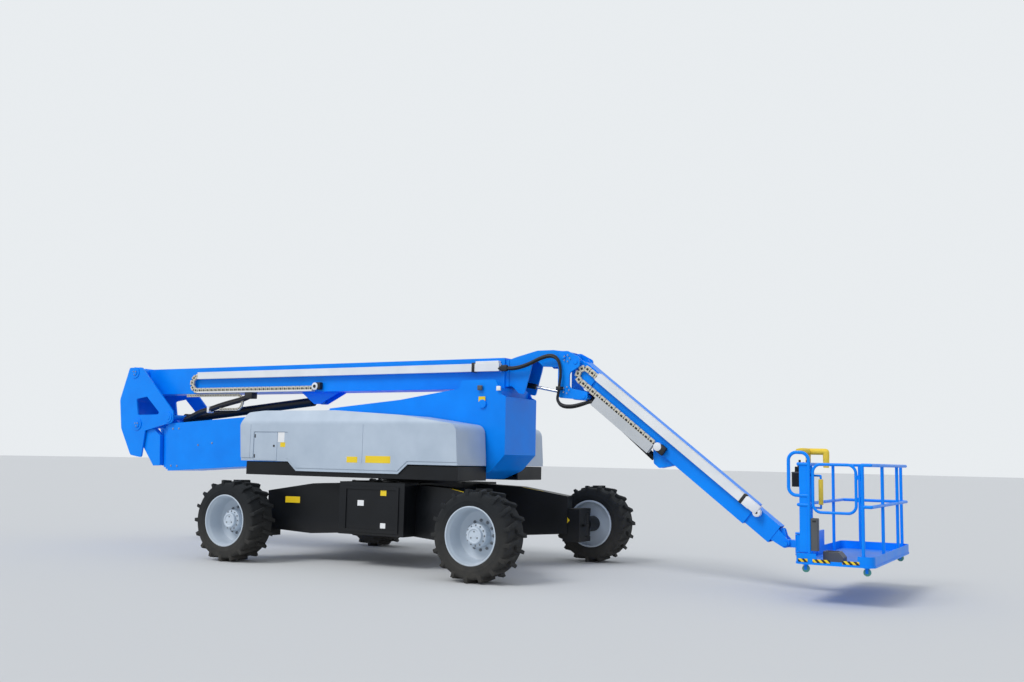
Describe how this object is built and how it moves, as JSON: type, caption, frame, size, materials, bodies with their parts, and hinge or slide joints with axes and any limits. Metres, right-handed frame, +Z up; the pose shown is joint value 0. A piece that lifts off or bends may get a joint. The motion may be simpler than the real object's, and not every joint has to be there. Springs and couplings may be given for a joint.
{
  "type": "articulating boom lift",
  "caption": "Self-propelled articulating boom lift with telescoping secondary, primary and jib booms, four steered wheels and a turning work platform.",
  "frame": {"origin": "on the ground in the middle of the stowed length and width", "axes": "+X from the elbow at the tail to the platform at the nose, +Y to the far side, +Z up"},
  "size_m": [12.8674, 3.94, 3.0589],
  "materials": {
    "tyre_rubber": "moulded rubber",
    "light_blue_paint": "satin paint",
    "rod_chrome": "hard chrome",
    "black_paint": "satin paint",
    "blue_paint": "gloss paint",
    "white_paint": "powder coat",
    "grey_paint": "powder coat",
    "cream_nylon": "moulded nylon",
    "yellow_foam": "foam sleeve",
    "grey_plastic": "moulded plastic"
  },
  "bodies": {
    "chassis": {"chassis_frame": "black_paint"},
    "steer_nose_near": {"knuckle_nose_near": "black_paint"},
    "wheel_nose_near": {"rim_nose_near": "light_blue_paint", "tyre_nose_near": "tyre_rubber"},
    "steer_nose_far": {"knuckle_nose_far": "black_paint"},
    "wheel_nose_far": {"rim_nose_far": "light_blue_paint", "tyre_nose_far": "tyre_rubber"},
    "steer_tail_near": {"knuckle_tail_near": "black_paint"},
    "wheel_tail_near": {"rim_tail_near": "light_blue_paint", "tyre_tail_near": "tyre_rubber"},
    "steer_tail_far": {"knuckle_tail_far": "black_paint"},
    "wheel_tail_far": {"rim_tail_far": "light_blue_paint", "tyre_tail_far": "tyre_rubber"},
    "turntable": {"turntable_deck": "black_paint", "riser": "blue_paint", "engine": "black_paint"},
    "hood_near": {"hood_near": "light_blue_paint"},
    "hood_far": {"hood_far": "light_blue_paint"},
    "secondary_outer": {"secondary_outer": "blue_paint"},
    "secondary_lift_barrel": {"secondary_lift_barrel": "black_paint"},
    "secondary_lift_rod": {"secondary_lift_rod": "rod_chrome"},
    "secondary_mid": {"secondary_mid": "blue_paint"},
    "secondary_inner": {"secondary_inner": "blue_paint"},
    "secondary_tip": {"secondary_tip": "blue_paint"},
    "elbow": {"elbow": "blue_paint"},
    "primary_outer": {"primary_outer": "blue_paint", "primary_trough": "white_paint", "primary_tray": "white_paint", "primary_chain": "cream_nylon"},
    "primary_lift_barrel": {"primary_lift_barrel": "black_paint"},
    "primary_lift_rod": {"primary_lift_rod": "rod_chrome"},
    "primary_mid": {"primary_mid": "blue_paint"},
    "primary_tip": {"primary_tip": "blue_paint", "gooseneck": "blue_paint"},
    "jib_level_barrel": {"jib_level_barrel": "black_paint"},
    "jib_level_rod": {"jib_level_rod": "rod_chrome"},
    "jib_link": {"jib_link": "blue_paint"},
    "jib_outer": {"jib_outer": "blue_paint", "jib_trough": "white_paint", "jib_tray": "grey_paint", "jib_chain": "cream_nylon"},
    "jib_inner": {"jib_inner": "blue_paint", "platform_level_barrel": "black_paint"},
    "jib_lift_barrel": {"jib_lift_barrel": "black_paint"},
    "jib_lift_rod": {"jib_lift_rod": "rod_chrome"},
    "platform_level_rod": {"platform_level_rod": "rod_chrome"},
    "platform_bracket": {"platform_bracket": "blue_paint"},
    "platform": {"platform_mount": "blue_paint", "platform_floor": "blue_paint", "platform_rails": "blue_paint", "control_console": "black_paint", "control_pad": "yellow_foam", "papers_case": "grey_plastic", "foot_switch": "grey_plastic"},
    "platform_gate": {"platform_gate": "blue_paint"}
  },
  "joints": [
    {"name": "steer_nose_near", "type": "hinge", "parent": "chassis", "child": "steer_nose_near", "pos_m": [1.805, -1.33, 0.5775], "axis": [0, 0, 1], "range_deg": [-30, 30]},
    {"name": "wheel_nose_near", "type": "hinge", "parent": "steer_nose_near", "child": "wheel_nose_near", "pos_m": [1.805, -1.7475, 0.5775], "axis": [0, 1, 0], "continuous": true},
    {"name": "steer_nose_far", "type": "hinge", "parent": "chassis", "child": "steer_nose_far", "pos_m": [1.805, 1.33, 0.5775], "axis": [0, 0, 1], "range_deg": [-30, 30]},
    {"name": "wheel_nose_far", "type": "hinge", "parent": "steer_nose_far", "child": "wheel_nose_far", "pos_m": [1.805, 1.7475, 0.5775], "axis": [0, 1, 0], "continuous": true},
    {"name": "steer_tail_near", "type": "hinge", "parent": "chassis", "child": "steer_tail_near", "pos_m": [-2.305, -1.33, 0.5775], "axis": [0, 0, 1], "range_deg": [-30, 30]},
    {"name": "wheel_tail_near", "type": "hinge", "parent": "steer_tail_near", "child": "wheel_tail_near", "pos_m": [-2.305, -1.7475, 0.5775], "axis": [0, 1, 0], "continuous": true},
    {"name": "steer_tail_far", "type": "hinge", "parent": "chassis", "child": "steer_tail_far", "pos_m": [-2.305, 1.33, 0.5775], "axis": [0, 0, 1], "range_deg": [-30, 30]},
    {"name": "wheel_tail_far", "type": "hinge", "parent": "steer_tail_far", "child": "wheel_tail_far", "pos_m": [-2.305, 1.7475, 0.5775], "axis": [0, 1, 0], "continuous": true},
    {"name": "turntable_slew", "type": "hinge", "parent": "chassis", "child": "turntable", "pos_m": [-0.25, 0, 1.2], "axis": [0, 0, 1], "continuous": true},
    {"name": "hood_near", "type": "hinge", "parent": "turntable", "child": "hood_near", "pos_m": [-1.35, -0.47, 2.185], "axis": [-1, 0, 0], "range_deg": [0, 60]},
    {"name": "hood_far", "type": "hinge", "parent": "turntable", "child": "hood_far", "pos_m": [-1.35, 0.47, 2.185], "axis": [1, 0, 0], "range_deg": [0, 60]},
    {"name": "secondary_lift", "type": "hinge", "parent": "turntable", "child": "secondary_outer", "pos_m": [1.05, 0, 2.3], "axis": [0, 1, 0], "range_deg": [0, 78]},
    {"name": "secondary_lift_swing", "type": "hinge", "parent": "turntable", "child": "secondary_lift_barrel", "pos_m": [0.3, 0, 1.4], "axis": [0, 1, 0], "range_deg": [0, 78.92]},
    {"name": "secondary_lift_stroke", "type": "slide", "parent": "secondary_lift_barrel", "child": "secondary_lift_rod", "axis": [-0.9996, 0, -0.0266], "range_m": [0, 1.47381]},
    {"name": "secondary_mid_extend", "type": "slide", "parent": "secondary_outer", "child": "secondary_mid", "axis": [-0.9981, 0, -0.061], "range_m": [0, 4.2]},
    {"name": "secondary_inner_extend", "type": "slide", "parent": "secondary_mid", "child": "secondary_inner", "axis": [-0.9981, 0, -0.061], "range_m": [0, 4.2]},
    {"name": "secondary_tip_extend", "type": "slide", "parent": "secondary_inner", "child": "secondary_tip", "axis": [-0.9981, 0, -0.061], "range_m": [0, 4.2]},
    {"name": "elbow_level", "type": "hinge", "parent": "secondary_tip", "child": "elbow", "pos_m": [-5.94, 0, 2], "axis": [0, 1, 0], "range_deg": [-78, 0]},
    {"name": "primary_lift", "type": "hinge", "parent": "elbow", "child": "primary_outer", "pos_m": [-6.06, 0, 2.9], "axis": [0, -1, 0], "range_deg": [0, 75]},
    {"name": "primary_lift_swing", "type": "hinge", "parent": "elbow", "child": "primary_lift_barrel", "pos_m": [-5.19, 0, 2.12], "axis": [0, -1, 0], "range_deg": [0, 76.68]},
    {"name": "primary_lift_stroke", "type": "slide", "parent": "primary_lift_barrel", "child": "primary_lift_rod", "axis": [0.9955, 0, 0.0948], "range_m": [0, 1.4187]},
    {"name": "primary_extend", "type": "slide", "parent": "primary_outer", "child": "primary_mid", "axis": [1, 0, 0], "range_m": [0, 3.45]},
    {"name": "primary_tip_extend", "type": "slide", "parent": "primary_mid", "child": "primary_tip", "axis": [1, 0, 0], "range_m": [0, 3.45]},
    {"name": "jib_level_swing", "type": "hinge", "parent": "primary_tip", "child": "jib_level_barrel", "pos_m": [0.95, 0, 2.7], "axis": [0, -1, 0], "range_deg": [0, 23]},
    {"name": "jib_level_stroke", "type": "slide", "parent": "jib_level_barrel", "child": "jib_level_rod", "axis": [0.9812, 0, -0.193], "range_m": [-0.46752, 0]},
    {"name": "jib_level", "type": "hinge", "parent": "primary_tip", "child": "jib_link", "pos_m": [2.2, 0, 2.96], "axis": [0, -1, 0], "range_deg": [-75, 0]},
    {"name": "jib_lift", "type": "hinge", "parent": "jib_link", "child": "jib_outer", "pos_m": [2.38, 0, 2.88], "axis": [0, -1, 0], "range_deg": [0, 110]},
    {"name": "jib_lift_swing", "type": "hinge", "parent": "jib_link", "child": "jib_lift_barrel", "pos_m": [2.51, 0, 2.4], "axis": [0, -1, 0], "range_deg": [0, 110.29]},
    {"name": "jib_lift_stroke", "type": "slide", "parent": "jib_lift_barrel", "child": "jib_lift_rod", "axis": [0.7591, 0, -0.651], "range_m": [0, 0.81467]},
    {"name": "jib_extend", "type": "slide", "parent": "jib_outer", "child": "jib_inner", "axis": [0.788, 0, -0.6157], "range_m": [0, 2.44]},
    {"name": "platform_level_stroke", "type": "slide", "parent": "jib_inner", "child": "platform_level_rod", "axis": [0.788, 0, -0.6157], "range_m": [0, 0.26642]},
    {"name": "platform_level", "type": "hinge", "parent": "jib_inner", "child": "platform_bracket", "pos_m": [5.2062, 0, 0.57041], "axis": [0, -1, 0], "range_deg": [-110, 0]},
    {"name": "platform_turn", "type": "hinge", "parent": "platform_bracket", "child": "platform", "pos_m": [5.3812, 0, 0.57041], "axis": [0, 0, 1], "range_deg": [-80, 80]},
    {"name": "platform_gate", "type": "hinge", "parent": "platform", "child": "platform_gate", "pos_m": [6.3108, -1.189, 1.1], "axis": [0, 0, -1], "range_deg": [0, 90]}
  ],
  "couplings": [
    {"joint": "secondary_lift_swing", "follows": "secondary_lift", "ratio": 1.0118},
    {"joint": "secondary_lift_stroke", "follows": "secondary_lift", "m_per_rad": 1.0826},
    {"joint": "secondary_mid_extend", "follows": "secondary_lift", "m_per_rad": 3.0852},
    {"joint": "secondary_inner_extend", "follows": "secondary_lift", "m_per_rad": 3.0852},
    {"joint": "secondary_tip_extend", "follows": "secondary_lift", "m_per_rad": 3.0852},
    {"joint": "elbow_level", "follows": "secondary_lift", "ratio": -1},
    {"joint": "primary_lift_swing", "follows": "primary_lift", "ratio": 1.0225},
    {"joint": "primary_lift_stroke", "follows": "primary_lift", "m_per_rad": 1.0838},
    {"joint": "primary_tip_extend", "follows": "primary_extend", "ratio": 1},
    {"joint": "jib_level_swing", "follows": "primary_lift", "ratio": 0.30664},
    {"joint": "jib_level_stroke", "follows": "primary_lift", "m_per_rad": -0.35716},
    {"joint": "jib_level", "follows": "primary_lift", "ratio": -1},
    {"joint": "jib_lift_swing", "follows": "jib_lift", "ratio": 1.0026},
    {"joint": "jib_lift_stroke", "follows": "jib_lift", "m_per_rad": 0.42434},
    {"joint": "platform_level_stroke", "follows": "jib_lift", "m_per_rad": 0.13877},
    {"joint": "platform_level", "follows": "jib_lift", "ratio": -1}
  ]
}
